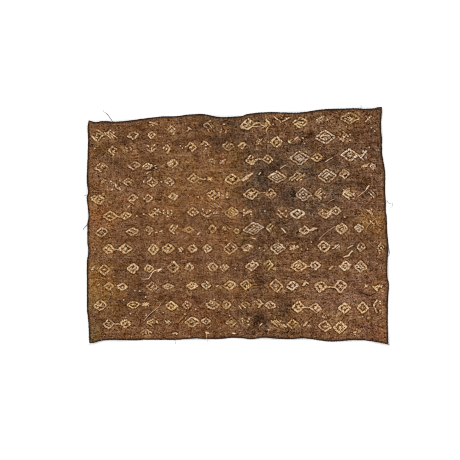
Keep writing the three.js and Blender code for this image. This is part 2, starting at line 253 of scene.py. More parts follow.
# The diamonds, row by row: "s t width height strokes thread" in mm. Strokes: a b c d
# are the outer sides from the upper left round, A B C D the same sides sewn thick,
# e f g h the inner ones, u and n bars leaning right and left, - and | level and
# upright ones, o and O a small and a full centre, 1 to 9 bright tufts placed as on
# a keypad, z dark patches of painted shade between the rings, x loose knots, > a bar to the next.
DIAMONDS = """
137 13 30 14 un2x t; 402 10 36 22 cdx t; 220 20 14 10 x f
20 29 28 27 bfcD25 t; 35 30 10 8 u f; 48 31 26 24 nnna94 t; 95 34 24 19 abCD3 f; 133 37 17 15 abcd5 t; 175 31 19 22 abuuc t; 209 33 14 12 bu f; 255 24 30 27 adfnx f; 281 27 22 20 xx13 f; 332 22 34 24 abcdu79nx> Y; 370 27 20 26 bfcuuB y; 441 22 33 24 abcdgh- y; 482 21 24 22 uun9x4 f; 500 23 16 13 xx g; 543 20 40 25 abcdghn57x G; 581 21 20 22 nu|9 f
56 62 26 24 ADh5f t; 86 63 38 20 xxxx t; 133 66 22 18 cd5279 t; 165 69 18 18 BC5a t; 215 69 25 20 aBc5u y; 245 66 23 20 ABo52 t; 291 63 26 21 abcdO f; 320 64 18 14 ABcd y; 355 62 26 24 xxxxu f; 391 63 26 23 ABCDO y; 421 59 14 13 d1u G; 441 56 16 10 b9 t; 492 57 42 29 abcdefghOz w; 530 58 22 24 bu2d5u t
30 99 28 22 bfad5 t; 98 99 28 20 abcd5 f; 125 103 24 14 abcd- t; 177 100 24 20 abcdeh5 t; 208 101 12 10 nx f; 259 97 24 13 ab-x f; 280 95 20 18 xxu5 f; 339 98 24 22 CDgh9a> Y; 373 99 21 20 abcdo5 Y; 438 95 42 31 abcdefghOz> g; 474 97 24 19 aDc5b2 Y; 541 95 36 26 ABCDOz w; 569 94 22 22 bu9d35x g
569 117 18 11 uu- p; 585 118 12 14 abdn p
35 130 14 14 uu t; 59 138 30 28 xxx579|13 w; 85 132 25 17 abd-53 f; 134 138 24 19 abCd5 t; 169 138 21 18 ABCD5 t; 218 136 24 22 abcduu> y; 251 135 16 14 nux y; 297 134 31 23 ABCD5O Y; 326 133 26 18 u159u Y; 388 136 38 25 Abcdefgh5z w; 428 134 33 23 uuuB3621 Y; 490 136 39 29 abcdefu25z w; 526 134 22 20 abcduu t
15 164 12 12 abcd t; 26 169 24 21 ABcd5h Y; 95 170 23 23 adghuB t; 126 171 19 18 abcd t; 177 170 21 16 ABcDu t; 257 168 24 21 aBcD57 y; 278 167 27 16 4796135 y; 336 168 33 25 abcduun5O> Y; 376 171 24 23 abCduu5z t; 442 172 34 29 abcdefgh5z g; 479 171 28 24 aDeh563 Y; 536 173 30 25 ADehnn6 Y; 580 175 18 20 bnb2 f
259 189 30 18 nnn f
46 205 30 22 abcd-b> y; 77 204 22 17 ABCD5 y; 136 203 28 21 ub9d15n Y; 163 205 28 20 4682795z Y; 215 206 24 20 abCd5 t; 243 207 24 19 CD795 t; 293 205 29 24 abcdefgh5 y; 326 206 28 20 x-u571346 Y; 397 211 28 23 975d3-n t; 428 212 31 21 ABCDO79z w; 484 212 28 19 ABCDO46z t; 505 208 24 17 ABcd5 t; 576 210 16 16 nn93 t
29 239 27 21 abcdo t; 92 239 27 18 abcd79-n t; 125 240 20 21 bcfg4a t; 177 239 21 22 auud9 t; 199 244 12 10 ax f; 208 243 16 14 abcd y; 255 240 15 19 ABcd y; 281 240 18 18 |ab- y; 304 245 13 12 abcd G; 338 242 44 27 abcdfghuu g; 373 242 18 20 ad5u G; 441 247 22 17 ABCDu> t; 460 244 20 12 uux t; 516 244 27 23 ABCDefg5 t; 553 244 20 18 abcdnn w; 579 231 20 16 nx y
42 277 24 21 ABCDOO37> Y; 76 276 27 22 ABCDOO75z Y; 133 280 23 24 aBCdOO85 Y; 163 280 27 21 ABCDO2579 Y; 212 283 20 18 aBCDn t; 242 282 20 18 abCd5-7 t; 290 281 30 28 abcdfh t; 323 280 26 17 ABcD-5 t; 385 284 32 26 abcdef5gu w; 418 282 26 16 46825un Y; 478 280 26 25 ABCDO5 t; 501 280 23 15 xu56| t; 554 283 18 19 abcd5z t; 594 281 16 25 ad5x t
13 313 10 12 ux t; 37 321 25 23 abcd55 y; 94 319 24 21 ABCDu4 t; 126 321 20 18 abcdO y; 176 320 24 24 ABCD- t; 208 322 18 18 ABCD79 t; 256 320 21 20 ABCDOz w; 280 322 19 16 abcdunn t; 335 319 29 21 abcdun5O w; 369 320 19 22 abcu G; 431 321 34 26 ABCDefgh5z> Y; 464 319 23 18 aBcD5n w; 495 322 14 12 ux p; 524 321 25 20 ABCDO79 w; 555 323 27 24 aBcDnn4 w
24 351 10 8 u w; 45 357 20 18 abcdux y; 73 357 22 18 ABCD5 w; 133 360 25 19 abcdu5 p; 164 360 24 14 ab-cd5 t; 213 361 25 17 abcd-|36 Y; 242 360 18 17 ABCD5 w; 289 360 27 21 ABCDOO Y; 322 359 25 21 abcd5eg y; 382 363 28 27 abcdO2z t; 414 361 25 20 ABCDO5 w; 440 359 16 14 bux t; 472 361 26 23 ABCDOO> Y; 511 361 27 26 ABcdnO1 t; 563 364 14 14 xu5 w; 587 361 22 18 uuD65 Y
28 396 27 24 aBcdOu14 Y; 94 396 27 18 abcd-5> y; 119 397 18 12 nunux t; 172 400 25 20 ABCD5O y; 203 401 18 18 Abcd5 p; 255 400 29 20 ABCDO8z w; 282 401 19 20 ABCD5| t; 322 401 20 16 ab-d G; 346 400 22 20 bnC79 G; 371 403 23 18 ABCDo t; 428 406 27 25 ABCDOn9> Y; 463 407 25 20 aBCd5O t; 480 422 20 10 xx f; 521 406 26 20 ABCDO3z Y; 558 406 23 24 ABcD5z Y; 566 426 28 12 xxx f; 588 400 18 28 ad93 t
42 438 23 24 abcdO> w; 76 436 22 19 ABcd5u w; 131 436 24 18 ab5d- Y; 148 437 8 5 - f; 162 436 15 13 bu5n t; 212 437 30 21 abcdu9- Y; 239 435 20 13 abcd5 t; 291 439 23 21 abcdO- G; 320 436 22 20 9613x74 G; 384 441 25 20 nnna9 Y; 415 441 25 20 abcd9 y; 440 443 16 18 u9x p; 481 442 29 23 abcd5369z t; 512 445 27 25 ABcD5O26 Y; 546 453 20 14 xx1 t
117 459 26 18 ab5x t; 176 460 12 8 AB t; 398 448 14 12 abx t; 240 460 12 7 O w
"""
OUTER = {"a": ((-1, 0), (0, -1)), "b": ((0, -1), (1, 0)), "c": ((1, 0), (0, 1)), "d": ((0, 1), (-1, 0))}
INNER = dict(zip("efgh", OUTER.values()))


def chart():
    """Every embroidered stroke in cloth mm: (s0, t0, s1, t1, thread, weight), tufts and knots (s, t, thread, size),
    spots of painted shade between the rings (s, t).
    """
    strokes, knots, shade_spots = [], [], []
    rr = np.random.default_rng(77)
    for row in DIAMONDS.strip().splitlines():
        cells = [c.split() for c in row.split(";")]
        for k, (s, t, w, h, code, thread) in enumerate(cells):
            s, t, w, h = float(s), float(t), float(w), float(h)
            s, t = s - 1.0 + rr.normal(0, .3), t - .5 + rr.normal(0, .3)
            skew = rr.normal(0, .05)
            hw, hh = w / 2 - .8, h / 2 - .8

            def put(p, q, weight=1.0):
                ax, ay, bx, by = p[0] * hw, p[1] * hh, q[0] * hw, q[1] * hh
                ax, bx = ax + skew * ay, bx + skew * by
                j = rr.normal(0, .45, 4)
                ax, ay, bx, by = ax + j[0], ay + j[1], bx + j[2], by + j[3]
                c0, c1 = rr.random(2) * .08
                ax, ay, bx, by = ax + (bx - ax) * c0, ay + (by - ay) * c0, bx + (ax - bx) * c1, by + (ay - by) * c1
                strokes.append((s + ax, t + ay, s + bx, t + by, thread, weight))

            ringed = len(set(code) & set("abcdABCD")) >= 3
            bars = {"u": code.count("u"), "n": code.count("n")}
            seen = {"u": 0, "n": 0}
            for ch in code:
                if ch.lower() in OUTER:
                    put(*OUTER[ch.lower()], 1.0 if ch.islower() else 1.28)
                elif ch in INNER:
                    p, q = INNER[ch]
                    put((p[0] * .50, p[1] * .50), (q[0] * .50, q[1] * .50), .88)
                elif ch in "un":
                    off = (seen[ch] - (bars[ch] - 1) / 2) * (.40 if ringed else .55)
                    seen[ch] += 1
                    up = -1 if ch == "u" else 1
                    lone = .34 if ringed else .60
                    put((-lone + off, -up * lone), (lone + off, up * lone), .86)
                elif ch == "-":
                    put((-.38, .05), (.38, .0), .86)
                elif ch == "|":
                    put((0, -.38), (.02, .38), .86)
                elif ch == "o":
                    put((-.13, .02), (.13, -.02), .95)
                elif ch == "O":
                    for dy in (-.17, .17):
                        put((-.25, dy), (.25, dy + rr.normal(0, .04)), .92)
                elif ch in "123456789":
                    col, line = (int(ch) - 1) % 3 - 1, 1 - (int(ch) - 1) // 3
                    r = .40 if ringed else .60
                    knots.append((s + col * r * hw + rr.normal(0, .5), t + line * r * hh + rr.normal(0, .5), thread, 1.25))
                elif ch == "z":
                    # painted shade: dark spots round between the outer and the inner ring
                    for i in range(9):
                        a = i * .698 + rr.normal(0, .12)
                        shade_spots.append((s + .66 * hw * math.cos(a), t + .66 * hh * math.sin(a)))
                elif ch == ">":
                    far = float(cells[k + 1][0]) - s - hw - float(cells[k + 1][2]) / 2
                    put((.92, .02), (1 + max(far, 3) / hw, .04), .85)
                elif ch == "x":
                    for _ in range(4):
                        a, r = rr.random() * 6.283, .25 + .6 * rr.random()
                        x, y = r * math.cos(a) * .9, r * math.sin(a) * .8
                        if rr.random() < .5:
                            knots.append((s + x * hw, t + y * hh, thread, .85))
                        else:
                            b = rr.random() * 3.14
                            strokes.append((s + x * hw - 1.3 * math.cos(b), t + y * hh - 1.1 * math.sin(b), s + x * hw + 1.3 * math.cos(b), t + y * hh + 1.1 * math.sin(b), thread, .85))
    return strokes, knots, shade_spots


STROKES, KNOTS, SHADE_SPOTS = chart()

# ------------------------------------------------------------ the cloth's mesh
GRAIN = .285                        # how much the tone jumps from spot to spot
HEM_IN = [0.0, 0.35, 0.8, 1.35, 1.95, 2.6, 3.3, 4.1]
FINE = 1.95


def lines(span):
    inner = HEM_IN[-1]
    n = int(round((span - 2 * inner) / FINE))
    mid = inner + (span - 2 * inner) * np.arange(1, n) / n
    return np.concatenate([HEM_IN, mid, span - np.array(HEM_IN[::-1])])


def bead(d, s, t):
    """Top and underside of the rolled hem above the surface, d mm in from the rim."""
    r = 1.9
    full = HEM_THICK + 0.28 * N6(s / 3.2, t / 3.2)
    up = np.where(d < r, 1.3 + (full - 1.3) * np.sqrt(np.clip(1 - ((r - d) / r) ** 2, 0, 1)), 0)
    k = np.clip((d - r) / (4.1 - r), 0, 1)
    k = k * k * (3 - 2 * k)
    up = np.where(d >= r, full * (1 - k) + SHEET * k, up)
    down = np.where(d < 1.3, 1.3 - 1.3 * np.sqrt(np.clip(1 - ((1.3 - d) / 1.3) ** 2, 0, 1)), 0)
    return up, down


def make_cloth():
    S, T = lines(WIDE), lines(TALL)
    ns, nt = len(S), len(T)
    ss, tt = np.meshgrid(S, T)
    ss, tt = ss.ravel(), tt.ravel()
    d = np.minimum(np.minimum(ss, WIDE - ss), np.minimum(tt, TALL - tt))
    x, y = flat_place(ss, tt)
    up, down = bead(d, ss, tt)
    rise = lift(x, y)
    fade = np.clip(d / 5, 0, 1)
    top = np.stack([x, y, rise + up + rumple(ss, tt) * fade + 0.35 * fade], 1)
    # distance from each point to the nearest line of stitches, for the painted shade beside the lines and the paler
    # fuzz under them
    near = np.full(len(ss), 9.0)
    grid = near.reshape(nt, ns)
    S2, T2 = ss.reshape(nt, ns), tt.reshape(nt, ns)
    for s0, t0, s1, t1, thread, weight in STROKES:
        i0, i1 = np.searchsorted(S, [min(s0, s1) - 8, max(s0, s1) + 8])
        j0, j1 = np.searchsorted(T, [min(t0, t1) - 8, max(t0, t1) + 8])
        if i1 <= i0 or j1 <= j0:
            continue
        a, b = S2[j0:j1, i0:i1], T2[j0:j1, i0:i1]
        dx, dy = s1 - s0, t1 - t0
        k = np.clip(((a - s0) * dx + (b - t0) * dy) / max(dx * dx + dy * dy, 1e-6), 0, 1)
        far = np.hypot(a - s0 - k * dx, b - t0 - k * dy)
        grid[j0:j1, i0:i1] = np.minimum(grid[j0:j1, i0:i1], far)
    near = grid.ravel()
    colour = ground_colour(ss, tt, x, y)
    # fibres worn off the stitches leave a warm bloom over each diamond
    bloom, inside = np.zeros(len(ss)), np.zeros(len(ss))
    for row in DIAMONDS.strip().splitlines():
        for cell in row.split(";"):
            s0, t0, w, h = (float(v) for v in cell.split()[:4])
            p, q = (ss - s0) / (w * .64), (tt - t0) / (h * .68)
            pick = p * p + q * q < 4
            inside[pick] = np.maximum(inside[pick], np.clip(2.4 - 3.2 * (np.abs(p[pick]) + np.abs(q[pick])), 0, 1))
            bloom[pick] = np.maximum(bloom[pick], np.exp(-1.1 * (p[pick] ** 2 + q[pick] ** 2) ** 1.5) * (.7 if cell.split()[5] == "f" else 1))
    bloom *= np.where(ss < 300, .41, np.where(tt > 290, .42, .34)) * np.clip(1 + .9 * N3(ss / 3.1, tt / 2.7) + .5 * N1(ss / 9, tt / 8), 0, 2)
    colour = colour * (1 - bloom)[:, None] + lin((176, 128, 84)) * bloom[:, None]
    # painted shade: a dark ring 1.5 to 4 mm beside every line of stitches, deeper inside the diamonds, where shade
    # falls beside the raised lines
    painted_shade_ring = np.exp(-((near - 2.9) / 1.4) ** 2)
    under = np.exp(-(near / 1.3) ** 2)
    gr = np.random.default_rng(21)
    noise = gr.normal(0, 1, (nt, ns))
    weft, warp = gr.normal(0, 1, (nt, ns)), gr.normal(0, 1, (nt, ns))
    weft = sum(np.roll(weft, k, 1) for k in range(5)) / math.sqrt(5)
    warp = sum(np.roll(warp, k, 0) for k in range(4)) / math.sqrt(4)
    wide = .85 * noise + .75 * weft + .6 * warp
    speck = gr.random((nt, ns))
    grain = np.exp(GRAIN * np.where(ss.reshape(nt, ns) < 312, .72, np.where(ss.reshape(nt, ns) < 420, 1.10, np.where(tt.reshape(nt, ns) > 260, .90, 1.02))) * wide / 1.27 - .42 * (speck < .09) + .16 * (speck > .92)).ravel()
    # the grain, lowered in the painted shade beside the stitches
    colour = tone(colour, grain * (1 - np.clip((.50 + .30 * inside) * (1 + .45 * N3(ss / 2.6, tt / 2.4 + 7)), 0, .88) * painted_shade_ring))
    colour = colour * (1 - 0.35 * under)[:, None] + lin((176, 132, 88)) * (0.35 * under)[:, None]
    hem = 1 / (1 + np.exp((d - 2.5) / 0.45))
    colour = colour * (1 - hem)[:, None] + lin((40, 26, 17)) * hem[:, None]
    just_in = np.exp(-((d - 6) / 2.2) ** 2) * 0.22
    colour = colour * (1 - just_in)[:, None] + lin((140, 104, 76)) * just_in[:, None]

    idx = np.arange(ns * nt).reshape(nt, ns)
    verts = [top]
    quads = [np.stack([idx[:-1, :-1], idx[1:, :-1], idx[1:, 1:], idx[:-1, 1:]], -1).reshape(-1, 4)]

    def ring_of(k):
        """Grid points k steps in from the rim, once round, anticlockwise from above."""
        a, b, c, e = k, ns - 1 - k, k, nt - 1 - k
        return np.concatenate([idx[c:e, a], idx[e, a:b], idx[e:c:-1, b], idx[c, b:a:-1]])

    # underside: the hem's lower rings, then a coarser sheet zipped to the last
    rim = ring_of(0)
    below, last = [rim], rim
    count = len(top)
    attr_s, attr_t, attr_c, attr_h = [ss], [tt], [colour], [hem]

    def add(points, s, t, c, h):
        nonlocal count
        verts.append(points)
        attr_s.append(s)
        attr_t.append(t)
        attr_c.append(c)
        attr_h.append(h)
        start = count
        count += len(points)
        return np.arange(start, count)

    full = ring_of(0)
    m = len(full)
    for off in (0.5, 1.5, 5.0):
        # points of the rim moved in by off
        s_in, t_in = np.clip(ss[full], off, WIDE - off), np.clip(tt[full], off, TALL - off)
        px, py = flat_place(s_in, t_in)
        dd = np.full(m, off)
        low = bead(dd, s_in, t_in)[1]
        h = 1 / (1 + np.exp((dd - 2.5) / 0.45))
        c = ground_colour(s_in, t_in, px, py) * (1 - h)[:, None] + lin((40, 26, 17)) * h[:, None]
        new = add(np.stack([px, py, lift(px, py) + low], 1), s_in, t_in, c, h)
        nxt = np.roll(np.arange(m), -1)
        quads.append(np.stack([last[np.arange(m)], new[np.arange(m)], new[nxt], last[nxt]], -1))
        last = new
        ring_s, ring_t = s_in, t_in
    gs, gt = np.linspace(9, WIDE - 9, 61), np.linspace(9, TALL - 9, 47)
    cs, ct = (q.ravel() for q in np.meshgrid(gs, gt))
    px, py = flat_place(cs, ct)
    sheet = add(np.stack([px, py, lift(px, py) + 0 * px], 1), cs, ct, ground_colour(cs, ct, px, py), np.zeros(len(cs)))
    g = sheet.reshape(47, 61)
    quads.append(np.stack([g[:-1, :-1], g[:-1, 1:], g[1:, 1:], g[1:, :-1]], -1).reshape(-1, 4))
    loop = np.concatenate([g[:-1, 0], g[-1, :-1], g[:0:-1, -1], g[0, :0:-1]])
    ls = np.concatenate([attr_s[-1].reshape(47, 61)[:-1, 0], attr_s[-1].reshape(47, 61)[-1, :-1], attr_s[-1].reshape(47, 61)[:0:-1, -1], attr_s[-1].reshape(47, 61)[0, :0:-1]])
    lt = np.concatenate([attr_t[-1].reshape(47, 61)[:-1, 0], attr_t[-1].reshape(47, 61)[-1, :-1], attr_t[-1].reshape(47, 61)[:0:-1, -1], attr_t[-1].reshape(47, 61)[0, :0:-1]])

    def along(s, t):
        """How far round, from 0 to 4, starting at the top left and going down."""
        left, bottom, right = (s < WIDE / 2) & (np.abs(s - np.minimum(s, 9)) < 1e-6), np.abs(t - np.maximum(t, TALL - 9)) < 1e-6, np.abs(s - np.maximum(s, WIDE - 9)) < 1e-6
        a = np.where(left, t / TALL, np.where(bottom, 1 + s / WIDE, np.where(right, 3 - t / TALL, 4 - s / WIDE)))
        return np.maximum.accumulate(a)

    pa = np.concatenate([np.linspace(0, 1, nt)[:-1], 1 + np.linspace(0, 1, ns)[:-1], 2 + np.linspace(0, 1, nt)[:-1], 3 + np.linspace(0, 1, ns)[:-1]])
    pb = np.concatenate([np.linspace(0, 1, 47)[:-1], 1 + np.linspace(0, 1, 61)[:-1], 2 + np.linspace(0, 1, 47)[:-1], 3 + np.linspace(0, 1, 61)[:-1]])
    tris, i, j = [], 0, 0
    na, nb = len(pa), len(pb)
    while i < na or j < nb:
        va = pa[(i + 1) % na] + (4 if i + 1 >= na else 0) if i < na else 9
        vb = pb[(j + 1) % nb] + (4 if j + 1 >= nb else 0) if j < nb else 9
        if va <= vb:
            tris.append((last[i % na], loop[j % nb], last[(i + 1) % na]))
            i += 1
        else:
            tris.append((last[i % na], loop[j % nb], loop[(j + 1) % nb]))
            j += 1
    verts = np.concatenate(verts)
    s_all, t_all = np.concatenate(attr_s), np.concatenate(attr_t)
    col = np.concatenate(attr_c)
    hemv = np.concatenate(attr_h)
    # points of the underside's rings that meet at a corner are one point
    _, first, same = np.unique(np.round(verts * 1e4).astype(np.int64), axis=0, return_index=True, return_inverse=True)
    to = first[same.ravel()]
    kept = np.unique(to)
    place = np.full(len(verts), -1)
    place[kept] = np.arange(len(kept))
    quads, tris = place[to[np.concatenate(quads)]], place[to[np.array(tris)]]
    equal = quads == np.roll(quads, -1, 1)
    cut = equal.sum(1) == 1
    tris = np.concatenate([tris, quads[cut][~equal[cut]].reshape(-1, 3)])
    quads, tris = quads[~equal.any(1)], tris[(tris != np.roll(tris, -1, 1)).all(1)]
    verts, s_all, t_all, col, hemv = verts[kept], s_all[kept], t_all[kept], col[kept], hemv[kept]
    ob = new_object(
        "raffia_panel", verts, quads, tris,
        [("FLOAT_VECTOR", "cloth_mm", np.stack([s_all, t_all, np.zeros(len(s_all))], 1)),
         ("FLOAT_COLOR", "ground", np.concatenate([col, np.ones((len(col), 1))], 1)),
         ("FLOAT", "hem", hemv)],
    )
    return ob, len(top)


cloth, TOP_COUNT = make_cloth()


# ---------------------------------------------------------------- stitch batches
def stitches(name, x, y, z, turn, length, width, height, tint, seedv=None):
    """Many small plump strands, each a closed spindle with a crest, as one mesh. All arrays in mm; turn in radians."""
    n = len(x)
    one = np.ones(n)
    L, W, H = length * one, width * one, height * one
    lx = np.stack([-.5 * L, -.27 * L, -.27 * L, -.27 * L, .27 * L, .27 * L, .27 * L, .5 * L], 1)
    ly = np.stack([0 * L, .5 * W, 0 * W, -.5 * W, .5 * W, 0 * W, -.5 * W, 0 * L], 1)
    lz = np.stack([-.12 * one, -.10 * one, H, -.10 * one, -.10 * one, H, -.10 * one, -.12 * one], 1)
    c, s = np.cos(turn)[:, None], np.sin(turn)[:, None]
    vx, vy, vz = x[:, None] + lx * c - ly * s, y[:, None] + lx * s + ly * c, z[:, None] + lz
    verts = np.stack([vx, vy, vz], -1).reshape(-1, 3)
    base = (np.arange(n) * 8)[:, None]
    tri = np.array([[0, 2, 1], [0, 3, 2], [0, 1, 3], [7, 4, 5], [7, 5, 6], [7, 6, 4]])
    quad = np.array([[1, 2, 5, 4], [2, 3, 6, 5], [3, 1, 4, 6]])
    tris = (base[:, :, None] + tri[None]).reshape(-1, 3)
    quads = (base[:, :, None] + quad[None]).reshape(-1, 4)
    seed = np.arange(n) * .618 % 1 * 50 if seedv is None else seedv
    strand = np.stack([lx, ly, np.repeat(seed[:, None], 8, 1)], -1).reshape(-1, 3)
    tint = np.concatenate([np.repeat(tint[:, None, :], 8, 1), np.ones((n, 8, 1))], -1).reshape(-1, 4)
    return new_object(name, verts, quads, tris, [("FLOAT_COLOR", "tint", tint), ("FLOAT_VECTOR", "strand", strand)])


def clear_of_rim(s, t, gap):
    return (s > gap) & (s < WIDE - gap) & (t > gap) & (t < TALL - gap)


def worn(colour, gain, most=.78):
    """A thread's colour at a gain, no brighter than worn raffia gets: the bright ones are paler, partly as paler worn
    fibre and partly as painted highlight.
    """
    g = min(gain, most / colour[0])
    return np.clip(colour * np.array([g, g ** (1.75 if g > 1 else 1.26), g ** (2.9 if g > 1 else 1.5)]), 0, .86)


def pairs(text, width):
    return [tuple(float(v) for v in cell.split()) for line in text.splitlines() for cell in line.split(";") if len(cell.split()) == width]


# Where the thread kept its brightness and where it lost it: x, y, share
KEPT = """73 78 -.30; 122 125 -.12; 171 121 -.18; -120 155 -.18; -60 17 -.14; -169 17 -.12; -169 -120 -.14; -71 -139 -.11; -22 -191 -.13
122 -191 -.10; 128 -168 .16; 235 -165 .16; -15 97 .14; 136 64 -.16; -235 40 .06; 269 69 -.10; 269 -87 -.24; 171 17 -.14; -10 17 -.12; 73 -35 -.12; 50 -115 -.14; 73 -191 -.12; -267 -191 -.08; 160 -40 .14; 215 -195 .22; -22 121 .12; -71 121 .08; 269 121 .12; 24 121 .08; 122 -139 .06"""


def bright_here(s, t):
    x, y = s - WIDE / 2, TALL / 2 - t
    return 1 + sum(v * math.exp(-((x - a) ** 2 + (y - b) ** 2) / 34 ** 2) for a, b, v in pairs(KEPT, 3))


def embroider():
    """Each stroke as two lines of slanted stitches, with short dark strands laid beside them as painted shade."""
    rows, shade_strands = [], []
    rr = np.random.default_rng(5)
    for s0, t0, s1, t1, thread, weight in STROKES:
        length = math.hypot(s1 - s0, t1 - t0)
        if length < .5:
            continue
        ux, uy = (s1 - s0) / length, (t1 - t0) / length
        left_hue = [1.02, .95, .80] if thread in "wgp" else [1.01, 1, .93]
        colour = lin(THREAD[thread]) * np.array(left_hue if s0 < 300 else [.96, .955, .94] if t0 < 300 else [1.01, .95, .90])
        mood = (.94 if s0 < 300 else 1.03 if t0 < 300 else 1.13) * (1 - (.12 * math.exp(-((s0 - 300) / 80) ** 2) if t0 > 100 else .06 * (s0 > 330))) * (1 + .12 * rr.normal()) * bright_here(s0, t0)
        wave, phase = rr.normal(0, .45), rr.random() * 6.283
        for strand in (-.5, .5):
            n = max(1, int(round(length / 2.4)))
            for k in range(n):
                if rr.random() < .13:
                    continue
                at = (k + .5 + .25 * strand) / n * length + rr.normal(0, .25)
                off = strand * 1.32 * weight + rr.normal(0, .24) + wave * math.sin(phase + at * .55)
                s, t = s0 + ux * at - uy * off, t0 + uy * at + ux * off
                wear = mood * math.exp(.40 * rr.normal())
                rows.append((s, t, math.atan2(uy, ux) + .22 * (1 if strand > 0 else -1) + rr.normal(0, .16), min(4.2, length * 1.1) * (.78 + .40 * rr.random()), 1.75 * weight * (.78 + .44 * rr.random()), .55 + .25 * rr.random(), *worn(colour, wear)))
        # painted shade: short dark strands either side of each stroke, where shade falls beside the raised stitches
        if length > 3:
            for side in (-1, 1):
                n = max(1, int(round(length / 2.9)))
                for k in range(n):
                    if rr.random() < .38:
                        continue
                    at = (k + .5) / n * length + rr.normal(0, .5)
                    off = side * (2.55 + .35 * rr.random()) * weight
                    s, t = s0 + ux * at - uy * off, t0 + uy * at + ux * off
                    shade_strands.append((s, t, math.atan2(uy, ux) + rr.normal(0, .25), 2.6 + 1.6 * rr.random(), 1.2 + .6 * rr.random(), .16 + .1 * rr.random(), *(lin((40, 20, 6)) * math.exp(.40 * rr.normal()))))
    for s, t, thread, size in KNOTS:
        turn = rr.random() * 3.14
        for k in range(3 if size > 1 else 1):
            colour = worn(lin(THREAD[thread]), (1.2 if size > 1 else 1) * math.exp(.25 * rr.normal()))
            rows.append((s + rr.normal(0, .55) * (k > 0), t + rr.normal(0, .55) * (k > 0), turn + k * 1.05, (2.5 + rr.random()) * size, (1.5 + .4 * rr.random()) * size, .8, *colour))
        # painted shadow: a dark strand just below each knot
        shade_strands.append((s + rr.normal(0, 1.2), t + 2.0 * size, rr.normal(0, .3), 2.6, 1.1, .18, *lin((60, 39, 24))))
    # painted shade between the rings: a dark patch at each of these spots
    for s, t in SHADE_SPOTS:
        shade_strands.append((s, t, rr.random() * 3.14, 2.2, 1.6, .45, *(lin((48, 28, 14)) * math.exp(.3 * rr.normal()))))
    for row in DIAMONDS.strip().splitlines():
        for cell in row.split(";"):
            s, t, w, h = (float(v) for v in cell.split()[:4])
            colour = lin(THREAD[cell.split()[5]])
            ringed = len(set(cell.split()[4].lower()) & set("abcd")) >= 3
            for _ in range(int(w * h / 62) if ringed else 2):
                a, r, lean = rr.random() * 6.283, .22 + .46 * rr.random(), 1 if rr.random() < .5 else -1
                r /= abs(math.cos(a)) + abs(math.sin(a))
                rows.append((s + r * math.cos(a) * w * .5, t + r * math.sin(a) * h * .5, lean * math.atan2(h, w) + rr.normal(0, .3), 2.2 + 1.2 * rr.random(), 1.2 + .4 * rr.random(), .5, *worn(colour, .45 + .6 * rr.random())))
            # painted shade: darker strands scattered in and round each diamond
            for _ in range(int(5 + w * h / 70)):
                a, r = rr.random() * 6.283, .35 + 1.0 * rr.random()
                shade_strands.append((s + r * math.cos(a) * w * .55, t + r * math.sin(a) * h * .6, rr.normal(0, .6), 2.0 + 1.4 * rr.random(), 1.1, .3, *(colour * (.22 + .38 * rr.random()))))
    out = []
    # the stitches, then the dark strands of painted shade, each in a left and a right half
    for stem, table, deep in (("stitches", rows, .05), ("painted_shade_strands", shade_strands, .0)):
        q = np.array(table)
        q = q[clear_of_rim(q[:, 0], q[:, 1], 4.5)]
        x, y, z = top_height(q[:, 0], q[:, 1])
        half = q[:, 0] < 300
        for label, pick in ((stem + "_left", half), (stem + "_right", ~half)):
            r = q[pick]
            out.append(stitches(label, x[pick], y[pick], z[pick] + deep, -r[:, 2], r[:, 3], r[:, 4], r[:, 5], r[:, 6:9]))
    return out


stitched = embroider()


def flecks():
    """Slubs, knots and broken ends of the ground, light and dark."""
    rr = np.random.default_rng(9)
    n = 14500
    s, t = rr.random(n) * (WIDE - 9) + 4.5, rr.random(n) * (TALL - 9) + 4.5
    x, y, z = top_height(s, t)
    kind = rr.random(n)
    turn = np.where(kind < .50, rr.normal(0, .18, n), np.where(kind < .70, math.pi / 2 + rr.normal(0, .18, n), rr.random(n) * math.pi))
    length, width = 1.8 + 3.4 * rr.random(n) ** 1.5, .9 + .8 * rr.random(n)
    g = ground_colour(s, t, x, y)
    r = rr.random(n)
    turn = np.where((r < .5) & (kind > .62), rr.normal(0, .15, n), turn)
    length = np.where(r < .5, length * 1.2, length)
    gain = np.where(r < .54 - .05 * (x < FOLD_X) + .09 * ((x > FOLD_X) & (y > -60)) + .12 * ((x > FOLD_X) & (x < 120)), .06 + .34 * rr.random(n), np.where(r < .92, 1.4 + .9 * rr.random(n), 2.0 + 1.4 * rr.random(n)))
    width = width * np.where(gain < .45, 1.35, 1)
    return stitches("slubs", x, y, z - .02, turn, length, width, .28 + .2 * rr.random(n), np.clip(tone(g, gain), .003, .8))


slubs = flecks()


